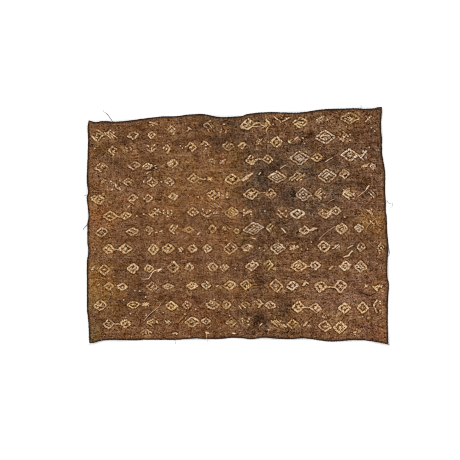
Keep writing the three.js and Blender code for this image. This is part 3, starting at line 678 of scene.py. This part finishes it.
def fibres():
    """Fine broken ends of raffia lying across the face, most of them along the diamonds' slopes."""
    rr = np.random.default_rng(61)
    n, k = 420, 6
    s0, t0 = rr.random(n) * (WIDE - 40) + 20, rr.random(n) * (TALL - 40) + 20
    turn = np.where(rr.random(n) < .6, .75, -.75) + rr.normal(0, .35, n)
    turn = np.where(rr.random(n) < .25, rr.random(n) * math.pi, turn)
    length, bow = 6 + 12 * rr.random(n) ** 1.6, rr.normal(0, .16, n)
    f = np.linspace(-.5, .5, k)[None]
    a = turn[:, None]
    u, v = f * length[:, None], (.25 - f * f) * (bow * length)[:, None] * 4
    s, t = s0[:, None] + u * np.cos(a) - v * np.sin(a), t0[:, None] - u * np.sin(a) - v * np.cos(a)
    s, t = np.clip(s, 5, WIDE - 5), np.clip(t, 5, TALL - 5)
    x, y, z = top_height(s.ravel(), t.ravel())
    z = z.reshape(n, k) + .10 + .35 * (1 - (2 * f) ** 2)
    g = ground_colour(s0, t0, *flat_place(s0, t0))
    tints = tone(g, np.where(rr.random(n) < .72, 1.5 + 1.3 * rr.random(n), .3 + .3 * rr.random(n)))
    r = (.24 + .16 * rr.random(n))[:, None] * np.array([.6, 1, 1, 1, .9, .5])[None]
    return tubes("broken_fibres", np.stack([x.reshape(n, k), y.reshape(n, k), z], -1), r, np.clip(tints, .004, .7), sides=4)

# Loose bright knots: x, y in mm
DOTS = """-292 158; -260 195; -28 207; 72 207; 272 200; 279 193; -117 163; -113 159; 62 171; 136 168; 229 186; 229 175; -167 118; 268 160
-192 90; -156 90; -192 24; -49 26; -44 26; 55 30; 218 18; -291 -48; 44 -45; 54 -50; 142 -47; 150 -33; -5 -87; -210 -132; -200 -133; -188 -145
-233 -151; -48 -150; -86 -170; 290 -154; -152 -177; -108 -180; -219 -179; -187 -182; -17 -183; 239 -221; -8 -220; 63 -212; -81 59; -118 -51; -206 20"""
# Bright dashes of thread on the face: x0, y0, x1, y1, width
DASHES = """115 175 123 181 2.6; 43 104 47 109 2.2; -224 38 -220 41 2.6; 262 75 268 82 2.4; -121 -46 -115 -53 3.0; -117 -44 -112 -49 2.0; -168 -14 -164 -13 2.4; -159 -12 -154 -10 2.4; -82 -18 -77 -13 2.4
29 -25 36 -27 2.2; 89 -5 97 -14 2.6; 216 -64 226 -61 2.4; 226 -61 234 -51 3.0; 224 -46 235 -40 2.2; -163 -93 -156 -88 3.6; -186 106 -182 110 2.0; -171 121 -167 123 2.0; 134 -118 140 -116 2.2; -44 -124 -40 -122 2.2; -62 -209 -54 -203 1.5; 45 -203 50 -199 2.2
137 -203 142 -197 1.7; 2 -163 7 -170 2.0; 20 101 31 107 3.0; 10 92 21 97 3.6; -66 -217 -59 -220 3.4; -11 -219 -5 -220 2.6; 182 46 198 55 1.1; 262 -5 282 15 1.3; 166 -28 199 -1 1.1; 179 130 193 139 1.6; -93 -128 -81 -123 2.2
47 206 56 202 1.6; 87 117 99 124 1.6; 252 119 268 127 1.5; 271 125 280 116 1.3"""
# Dark spots, streaks and threads on the face: x0, y0, x1, y1, width
DARKS = """129 171 135 179 5.0; -186 109 -164 121 5.0; 38 102 52 110 6.0; 112 76 117 58 6.0; 105 67 114 61 4.0; 190 142 203 149 3.0; -114 -50 -109 -55 3.0; -299 163 -295 167 4.0; 182 213 188 216 4.0; 264 206 269 208 4.0
33 -200 45 -192 6.5; 98 -218 105 -214 4.0; -170 54 -156 53 4.2; 50 -65 55 -87 1.3; 55 -87 50 -111 1.3; 45 -112 54 -116 4.0; 15 -88 19 -104 1.3; 88 10 96 3 3.0; 66 -86 72 -92 2.6; -301 68 -268 67 1.3; -88 -195 -86 -192 2.6; 214 -67 234 -55 2.2; 160 128 181 137 1.8
117 -16 124 -12 4.5; 142 -12 140 -16 2.4; -154 -93 -149 -96 4.0; -196 -200 -178 -181 1.7; -177 -181 -158 -163 1.7; -158 -163 -127 -136 1.3; -123 -201 -103 -181 1.6; 121 22 123 25 3.0; 250 -134 267 -143 1.4; 267 -143 283 -136 1.4; 293 -128 301 -119 1.4; -115 165 -109 156 2.4; 58 -52 50 -47 2.4
232 106 293 111 1.3"""


def marks():
    """Knots, dashes and dark spots that stand out on the face, with dark strands painted below each knot and dash as
    its shadow.
    """
    rr = np.random.default_rng(31)
    rows = []

    def strand(x, y, turn, length, width, high, colour):
        rows.append((x, y, turn, length, width, high, *colour))

    for x, y in pairs(DOTS, 2):
        c = lin((218, 184, 152)) * math.exp(.12 * rr.normal())
        turn = rr.random() * 3.14
        strand(x, y, turn, 4.0, 3.0, 1.0, c)
        strand(x + .3, y - .2, turn + 1.4, 3.4, 2.6, 1.0, c * .92)
        # painted shadow: three dark strands below each knot
        for k in range(3):
            a = -1.6 + rr.normal(0, .8)
            strand(x + 2.5 * math.cos(a), y + 2.5 * math.sin(a), a + 1.57, 2.8, 1.6, .25, lin((46, 30, 20)))
    for x0, y0, x1, y1, width in pairs(DASHES, 5):
        length = math.hypot(x1 - x0, y1 - y0)
        turn = math.atan2(y1 - y0, x1 - x0)
        n = max(1, round(length / 3.2))
        pale = lin((216, 184, 148)) if width > 1.55 else lin((190, 150, 116))
        for k in range(n):
            f = (k + .5) / n
            bend = math.sin(f * 3.14) * .06 * length
            x, y = x0 + (x1 - x0) * f - math.sin(turn) * bend, y0 + (y1 - y0) * f + math.cos(turn) * bend
            strand(x, y, turn + rr.normal(0, .08), length / n + 2.0, width * 1.2, .9, np.clip(pale * math.exp(.15 * rr.normal()), 0, .93))
            # painted shadow: a dark strand just below each dash
            strand(x + 1.6 * math.sin(turn), y - 1.9 * abs(math.cos(turn)), turn, length / n + 1.0, 1.3, .2, lin((48, 31, 20)))
    for x0, y0, x1, y1, width in pairs(DARKS, 5):
        length = math.hypot(x1 - x0, y1 - y0)
        turn = math.atan2(y1 - y0, x1 - x0)
        n = max(2, round(length * max(width, 2) / 5.0))
        for k in range(n):
            f = (k + .5) / n
            off = rr.normal(0, .26) * width if width > 2.3 else 0.0
            if width < 1.35:                    # only the ghost of a line
                off = rr.normal(0, .5)
                if rr.random() < .35:
                    continue
            x, y = x0 + (x1 - x0) * f - math.sin(turn) * off, y0 + (y1 - y0) * f + math.cos(turn) * off
            strand(x, y, turn + rr.normal(0, .35 if width > 2.3 else .1), 3.6 if width > 2.3 else length / n + 1.6, min(width, 2.0), .35, lin((38, 26, 19) if width > 1.35 else (66, 42, 27)) * math.exp(.3 * rr.normal()))
    q = np.array(rows)
    s, t = cloth_of(q[:, 0], q[:, 1])
    keep = clear_of_rim(s, t, 4)
    q, s, t = q[keep], s[keep], t[keep]
    z = top_height(s, t)[2]
    return stitches("knots_and_dashes", q[:, 0], q[:, 1], z + .12, q[:, 2], q[:, 3], q[:, 4], q[:, 5], q[:, 6:9])


marked = marks()


# ------------------------------------------------- tubes: hem overcasting, loose ends
def tubes(name, paths, radius, tint, sides=5, flatten=1.0):
    """Closed tubes along paths: an array (count, points, 3) in mm, with radii (count, points)."""
    P = np.asarray(paths, float)
    n, k = P.shape[:2]
    d = np.empty_like(P)
    d[:, 1:-1] = P[:, 2:] - P[:, :-2]
    d[:, 0], d[:, -1] = P[:, 1] - P[:, 0], P[:, -1] - P[:, -2]
    d /= np.maximum(np.linalg.norm(d, axis=2, keepdims=True), 1e-9)
    up = np.array([0, 0, 1.0])
    side = np.cross(d, up)
    side /= np.maximum(np.linalg.norm(side, axis=2, keepdims=True), 1e-6)
    nor = np.cross(side, d)
    R = np.asarray(radius, float)[:, :, None]
    rings = [P + R * (math.cos(a) * side + flatten * math.sin(a) * nor) for a in (2 * math.pi * np.arange(sides) / sides)]
    verts = np.stack(rings, 2).reshape(n, k * sides, 3)
    ends = np.stack([P[:, 0] - d[:, 0] * R[:, 0] * .7, P[:, -1] + d[:, -1] * R[:, -1] * .7], 1)
    verts = np.concatenate([verts, ends], 1)
    per = k * sides + 2
    base = (np.arange(n) * per)[:, None, None]
    q, tr = [], []
    for i in range(k - 1):
        for j in range(sides):
            a, b = i * sides + j, i * sides + (j + 1) % sides
            q.append((a, a + sides, b + sides, b))
    for j in range(sides):
        tr.append((k * sides, j, (j + 1) % sides))
        o = (k - 1) * sides
        tr.append((k * sides + 1, o + (j + 1) % sides, o + j))
    quads = (base + np.array(q)[None]).reshape(-1, 4)
    tris = (base + np.array(tr)[None]).reshape(-1, 3)
    run = np.concatenate([np.zeros((n, 1)), np.cumsum(np.linalg.norm(np.diff(P, axis=1), axis=2), 1)], 1)
    across = np.cos(2 * math.pi * np.arange(sides) / sides)[None, None] * R
    strand = np.stack([np.repeat(run[:, :, None], sides, 2), across, np.broadcast_to((np.arange(n) * .37 % 40)[:, None, None], (n, k, sides))], -1).reshape(n, -1, 3)
    strand = np.concatenate([strand, strand[:, :2]], 1).reshape(-1, 3)
    colour = np.concatenate([np.repeat(np.asarray(tint, float)[:, None], per, 1), np.ones((n, per, 1))], -1).reshape(-1, 4)
    return new_object(name, verts.reshape(-1, 3), quads, tris, [("FLOAT_COLOR", "tint", colour), ("FLOAT_VECTOR", "strand", strand)])


def overcast():
    """The hem's own stitches: short slanted wraps over the rolled edge, all the way round."""
    rr = np.random.default_rng(41)
    # inward distance and height over the surface, from inside the roll to its outside
    over = np.array([(4.3, SHEET + .1), (3.2, HEM_THICK + .1), (1.9, HEM_THICK + .45), (.7, HEM_THICK - .1), (-.25, 1.5), (.25, .75)])
    parts = []
    for along, across, side in ((WIDE, TALL, 0), (TALL, WIDE, 1)):
        for far in (0, 1):
            n = int(along / 3.1)
            c = (np.arange(n) + .5 + rr.normal(0, .12, n)) / n * along
            c = c[(rr.random(n) > .08) & (c > 5) & (c < along - 5)][:, None]
            lean = 1.5 + rr.normal(0, .35, (len(c), 1))
            q = c + lean * (np.arange(6) / 5 - .5)[None] * (1 if far else -1)
            e = np.broadcast_to(across - over[:, 0] if far else over[:, 0], q.shape)
            ss, tt = (q, e) if side == 0 else (e, q)
            cs, ct = np.clip(ss, 0, WIDE), np.clip(tt, 0, TALL)
            x, y = flat_place(cs.ravel(), ct.ravel())
            x, y = x.reshape(q.shape) + (ss - cs), y.reshape(q.shape) - (tt - ct)
            parts.append(np.stack([x, y, lift(x, y) + over[:, 1][None]], -1))
    paths = np.concatenate(parts)
    r = .42 + .12 * rr.random((len(paths), 1))
    tints = lin((50, 33, 22))[None] * np.exp(.42 * rr.normal(0, 1, (len(paths), 1)))
    return tubes("hem_overcasting", paths, r * np.array([.8, 1, 1.1, 1.1, 1, .8])[None], tints, sides=4)


hem_wraps = overcast()
fluff = fibres()

# Loose threads: width, shade, then x, y, rise over what lies beneath, in mm
LOOSE = [
    (.85, "dark", "-256 213 .4; -262 222 .8; -268 229 1.6; -273 233 2.4"),
    (.60, "mid", "-262 221 .5; -265 227 1.4; -274 234 2.2; -276 240 1.0"),
    (1.1, "dark", "-305 4 .5; -311 -1 1.6; -317 -9 .8"),
    (.65, "mid", "-305 63 .5; -312 62 1.4; -316 61 .8"),
    (.62, "dark", "304 52 .6; 309 46 2.0; 315 47 2.8; 315 40 1.6; 311 37 .8"),
    (.85, "dark", "304 -45 .6; 308 -47 1.6; 309 -56 1.6; 306 -63 .8"),
    (.65, "mid", "303 -238 .6; 307 -241 1.4; 311 -243 .9"),
    (.60, "mid", "-127 -229 .6; -128 -237 1.6; -126 -242 .9"),
    (.70, "pale", "-64 -219 .8; -63 -230 1.4; -61 -239 1.0"),
    (1.0, "pale", "-192 -194 .6; -180 -180 .9; -170 -172 .8; -163 -167 .9; -158 -160 .8; -156 -155 .5"),
    (.62, "dark", "250 -134 .5; 258 -139 .9; 267 -143 .8; 276 -140 .9; 283 -136 .5"),
    (.60, "dark", "293 -128 .5; 297 -124 .9; 301 -118 .6"),
    (.95, "pale", "244 59 .6; 251 65 1.4; 259 71 1.6; 268 81 .6"),
    (1.45, "pale", "-156 -89 .5; -164 -89.6 .9; -170 -91.4 .9; -177 -99.3 .8; -182.5 -108 .6; -197 -108.5 .4"),
    (.70, "tan", "-122 -198 .4; -112 -185 .7; -102 -173 .4"),
    (.60, "tan", "165 -26 .4; 181 -14 .7; 193 -6 .4"),
    (.80, "pale", "7 198 .6; 14 204 .9; 22 201 .9; 33 203 .8; 44 202 .8; 53 200 .5"),
    (.75, "tan", "-167 53 .5; -160 50 .8; -152 52 .5"),
    (.50, "mid", "-296 -236 .8; -303 -243 1.6; -306 -246 .9"),
    (.40, "dark", "250 239 .8; 252 244 1.6; 250 247 .8"),
]
SHADES = {"dark": (40, 28, 22), "mid": (112, 82, 60), "tan": (178, 136, 96), "pale": (222, 192, 156)}


def loose_threads():
    rr = np.random.default_rng(51)
    paths, radii, tints = [], [], []
    for width, shade, text in LOOSE:
        pts = np.array(pairs(text, 3))
        run = np.concatenate([[0], np.cumsum(np.hypot(*np.diff(pts[:, :2], axis=0).T))])
        at = np.linspace(0, run[-1], 16)
        x, y, h = (smooth_rows(list(zip(run, pts[:, c])), at) for c in range(3))
        x, y = x + .25 * N5(at / 4, width * 30) * np.clip(at / 4, 0, 1), y + .25 * N6(at / 4, width * 30 + 9) * np.clip(at / 4, 0, 1)
        s, t = cloth_of(x, y)
        on = clear_of_rim(s, t, 0)
        ground = np.where(on, np.where(clear_of_rim(s, t, 4), top_height(np.clip(s, 0, WIDE), np.clip(t, 0, TALL))[2], 3.0 + lift(x, y)), .1)
        z = np.maximum(np.maximum(ground + h, width * .5 + .1), 0)
        z = np.convolve(np.pad(z, 1, mode="edge"), [.25, .5, .25], mode="valid")
        paths.append(np.stack([x, y, z], 1))
        radii.append(width * .5 * np.interp(np.arange(16), [0, 12, 15], [1, .9, .45]))
        tints.append(lin(SHADES[shade]) * math.exp(.1 * rr.normal()))
    return tubes("loose_threads", paths, radii, np.array(tints), sides=6)


strays = loose_threads()


# ------------------------------------------------------------------- materials
def mat(name):
    m = bpy.data.materials.new(name)
    m.use_nodes = True
    nt = m.node_tree
    nt.nodes.clear()
    out = nt.nodes.new("ShaderNodeOutputMaterial")
    bsdf = nt.nodes.new("ShaderNodeBsdfPrincipled")
    nt.links.new(bsdf.outputs[0], out.inputs[0])
    return m, nt, bsdf


def node(nt, kind, inputs=(), **props):
    n = nt.nodes.new(kind)
    for k, v in props.items():
        setattr(n, k, v)
    for key, v in dict(inputs).items():
        sock = n.inputs[key]
        if isinstance(v, bpy.types.NodeSocket):
            nt.links.new(v, sock)
        else:
            sock.default_value = v
    return n


def math_(nt, op, a, b=0.0, c=0.0, clamp=False):
    n = nt.nodes.new("ShaderNodeMath")
    n.operation = op
    n.use_clamp = clamp
    for i, v in enumerate((a, b, c)):
        if isinstance(v, bpy.types.NodeSocket):
            nt.links.new(v, n.inputs[i])
        else:
            n.inputs[i].default_value = v
    return n.outputs[0]


def tone_nodes(nt, colour, gain):
    """The colour at a gain: darker is redder and lighter is paler."""
    power = node(nt, "ShaderNodeCombineXYZ", {0: gain, 1: math_(nt, "POWER", gain, 1.32), 2: math_(nt, "POWER", gain, 1.70)})
    return node(nt, "ShaderNodeVectorMath", {0: colour, 1: power.outputs[0]}, operation="MULTIPLY").outputs[0]


def segment(nt, along, thread, length, salt):
    """A random number for each short stretch of each thread."""
    start = node(nt, "ShaderNodeTexWhiteNoise", {"W": math_(nt, "ADD", thread, salt)}, noise_dimensions="1D")
    cell = math_(nt, "FLOOR", math_(nt, "ADD", math_(nt, "DIVIDE", along, length), math_(nt, "MULTIPLY", start.outputs[0], 9.0)))
    v = node(nt, "ShaderNodeCombineXYZ", {0: cell, 1: thread})
    return node(nt, "ShaderNodeTexWhiteNoise", {"Vector": v.outputs[0]}, noise_dimensions="2D").outputs[0]


def cloth_material():
    m, nt, bsdf = mat("raffia_weave")
    P_WARP, P_WEFT = 1.22, 1.34
    uv = node(nt, "ShaderNodeAttribute", attribute_name="cloth_mm")
    # the threads wander a little
    slow = node(nt, "ShaderNodeTexNoise", {"Vector": uv.outputs["Vector"], "Scale": 0.045, "Detail": 2.0}, noise_dimensions="2D")
    shift = node(nt, "ShaderNodeVectorMath", {0: slow.outputs["Color"], 1: (.5, .5, .5)}, operation="SUBTRACT")
    shift = node(nt, "ShaderNodeVectorMath", {0: shift.outputs[0], "Scale": 7.0}, operation="SCALE")
    p = node(nt, "ShaderNodeVectorMath", {0: uv.outputs["Vector"], 1: shift.outputs[0]}, operation="ADD")
    xyz = node(nt, "ShaderNodeSeparateXYZ", {0: p.outputs[0]})
    px, py = xyz.outputs[0], xyz.outputs[1]
    a = math_(nt, "DIVIDE", px, P_WARP)
    b = math_(nt, "DIVIDE", py, P_WEFT)
    ia, ib = math_(nt, "FLOOR", a), math_(nt, "FLOOR", b)
    fa, fb = math_(nt, "SUBTRACT", math_(nt, "FRACT", a), .5), math_(nt, "SUBTRACT", math_(nt, "FRACT", b), .5)
    # +1 where the warp is on top, -1 where the weft is
    par = math_(nt, "MODULO", math_(nt, "ADD", math_(nt, "ADD", ia, ib), 4096.0), 2.0)
    sign = math_(nt, "SUBTRACT", math_(nt, "MULTIPLY", par, 2.0), 1.0)
    # rounded cross-sections, and each thread bending over and under
    ra = math_(nt, "SQRT", math_(nt, "SUBTRACT", 1.0, math_(nt, "MULTIPLY", math_(nt, "MULTIPLY", fa, fa), 3.4), clamp=True))
    rb = math_(nt, "SQRT", math_(nt, "SUBTRACT", 1.0, math_(nt, "MULTIPLY", math_(nt, "MULTIPLY", fb, fb), 3.4), clamp=True))
    ca = math_(nt, "MULTIPLY", math_(nt, "COSINE", math_(nt, "MULTIPLY", fa, math.pi)), sign)
    cb = math_(nt, "MULTIPLY", math_(nt, "COSINE", math_(nt, "MULTIPLY", fb, math.pi)), sign)
    warp_h = math_(nt, "ADD", math_(nt, "MULTIPLY", ra, .55), math_(nt, "MULTIPLY", cb, .45))
    weft_h = math_(nt, "SUBTRACT", math_(nt, "MULTIPLY", rb, .55), math_(nt, "MULTIPLY", ca, .45))
    height = math_(nt, "MAXIMUM", warp_h, weft_h)
    on_warp = math_(nt, "GREATER_THAN", warp_h, weft_h)
    # each thread has its own tone, and every short stretch of it another
    own_a = node(nt, "ShaderNodeTexWhiteNoise", {"W": ia}, noise_dimensions="1D").outputs[0]
    own_b = node(nt, "ShaderNodeTexWhiteNoise", {"W": math_(nt, "ADD", ib, 907.0)}, noise_dimensions="1D").outputs[0]
    seg_a, seg_b = segment(nt, py, ia, 3.9, 31.0), segment(nt, px, ib, 4.6, 517.0)
    tone_a = math_(nt, "ADD", math_(nt, "MULTIPLY", own_a, .30), seg_a)
    tone_b = math_(nt, "ADD", math_(nt, "MULTIPLY", own_b, .42), seg_b)
    pick = node(nt, "ShaderNodeMix", {0: on_warp, 2: tone_b, 3: tone_a}, data_type="FLOAT").outputs[0]
    grain = node(nt, "ShaderNodeTexNoise", {"Vector": uv.outputs["Vector"], "Scale": .42, "Detail": 3.0, "Roughness": .75}, noise_dimensions="2D")
    fine = node(nt, "ShaderNodeTexNoise", {"Vector": uv.outputs["Vector"], "Scale": 2.2, "Detail": 2.0, "Roughness": .6}, noise_dimensions="2D")
    gain = math_(nt, "ADD", .42, math_(nt, "MULTIPLY", pick, .86))
    gain = math_(nt, "ADD", gain, math_(nt, "MULTIPLY", math_(nt, "SUBTRACT", grain.outputs[0], .5), 1.3))
    gain = math_(nt, "ADD", gain, math_(nt, "MULTIPLY", math_(nt, "SUBTRACT", fine.outputs[0], .5), .5))
    # painted shade: the weave's colour is darker where the threads dip under one another
    gap = math_(nt, "MULTIPLY", math_(nt, "SUBTRACT", height, .30), 1.9, clamp=True)
    gain = math_(nt, "MULTIPLY", gain, math_(nt, "ADD", .30, math_(nt, "MULTIPLY", gap, .78)))
    gain = math_(nt, "MAXIMUM", gain, .10)
    ground = node(nt, "ShaderNodeAttribute", attribute_name="ground")
    nt.links.new(tone_nodes(nt, ground.outputs["Color"], gain), bsdf.inputs["Base Color"])
    bump = node(nt, "ShaderNodeBump", {"Strength": 1.0, "Distance": .00028, "Height": height})
    fuzz = node(nt, "ShaderNodeBump", {"Strength": .6, "Distance": .0007, "Height": grain.outputs[0], "Normal": bump.outputs[0]})
    nt.links.new(fuzz.outputs[0], bsdf.inputs["Normal"])
    rough = math_(nt, "ADD", .78, math_(nt, "MULTIPLY", fine.outputs[0], .18))
    nt.links.new(rough, bsdf.inputs["Roughness"])
    bsdf.inputs["Specular IOR Level"].default_value = .02
    return m


def thread_material(name, rough=.75, spec=.03):
    m, nt, bsdf = mat(name)
    tint = node(nt, "ShaderNodeAttribute", attribute_name="tint")
    strand = node(nt, "ShaderNodeAttribute", attribute_name="strand")
    v = node(nt, "ShaderNodeVectorMath", {0: strand.outputs["Vector"], 1: (.35, 4.2, 1.0)}, operation="MULTIPLY")
    fib = node(nt, "ShaderNodeTexNoise", {"Vector": v.outputs[0], "Scale": 1.0, "Detail": 3.0, "Roughness": .6})
    gain = math_(nt, "ADD", .50, math_(nt, "MULTIPLY", fib.outputs[0], 1.0))
    nt.links.new(tone_nodes(nt, tint.outputs["Color"], gain), bsdf.inputs["Base Color"])
    bump = node(nt, "ShaderNodeBump", {"Strength": .7, "Distance": .00012, "Height": fib.outputs[0]})
    nt.links.new(bump.outputs[0], bsdf.inputs["Normal"])
    bsdf.inputs["Roughness"].default_value = rough
    bsdf.inputs["Specular IOR Level"].default_value = spec
    return m


weave = cloth_material()
strandy = thread_material("raffia_strand")
cloth.data.materials.append(weave)
added = [*stitched, slubs, fluff, marked, hem_wraps, strays]
for ob in added:
    ob.data.materials.append(strandy)

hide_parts("cloth")
for ob in [cloth, *added]:
    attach(ob, "root")

# --------------------------------------------------------- floor, light, camera
bpy.ops.mesh.primitive_plane_add(size=60, location=(0, 0, -0.0004))
floor = bpy.context.object
floor.name = "floor"
fm, fnt, fb = mat("floor_white")
fb.inputs["Base Color"].default_value = (.93, .93, .93, 1)
fb.inputs["Roughness"].default_value = 1.0
fb.inputs["Specular IOR Level"].default_value = 0.0
floor.data.materials.append(fm)

scene = bpy.context.scene
world = bpy.data.worlds.new("studio")
scene.world = world
world.use_nodes = True
world.node_tree.nodes["Background"].inputs[0].default_value = (1, 1, 1, 1)
world.node_tree.nodes["Background"].inputs[1].default_value = .98
sun = bpy.data.lights.new("key", "SUN")
sun.energy = 1.1
sun.angle = math.radians(24)
sun_ob = bpy.data.objects.new("key", sun)
scene.collection.objects.link(sun_ob)
sun_ob.rotation_mode = "QUATERNION"
sun_ob.rotation_quaternion = Vector((.50, -.52, -.90)).normalized().to_track_quat("-Z", "Y")

cam_data = bpy.data.cameras.new("camera")
cam_data.lens, cam_data.sensor_width = 100, 36
cam = bpy.data.objects.new("camera", cam_data)
scene.collection.objects.link(cam)
WIDTH_MM = 460 * 2.04
cam.location = (-0.0160, -0.0084, WIDTH_MM * MM * 100 / 36 + .0015)
cam.rotation_euler = (0, 0, 0)
cam_data.clip_start, cam_data.clip_end = .05, 100
scene.camera = cam

scene.cycles.filter_width = 1.0
scene.view_settings.view_transform = "Standard"
scene.view_settings.look = "None"
scene.view_settings.exposure = 0
scene.view_settings.gamma = 1
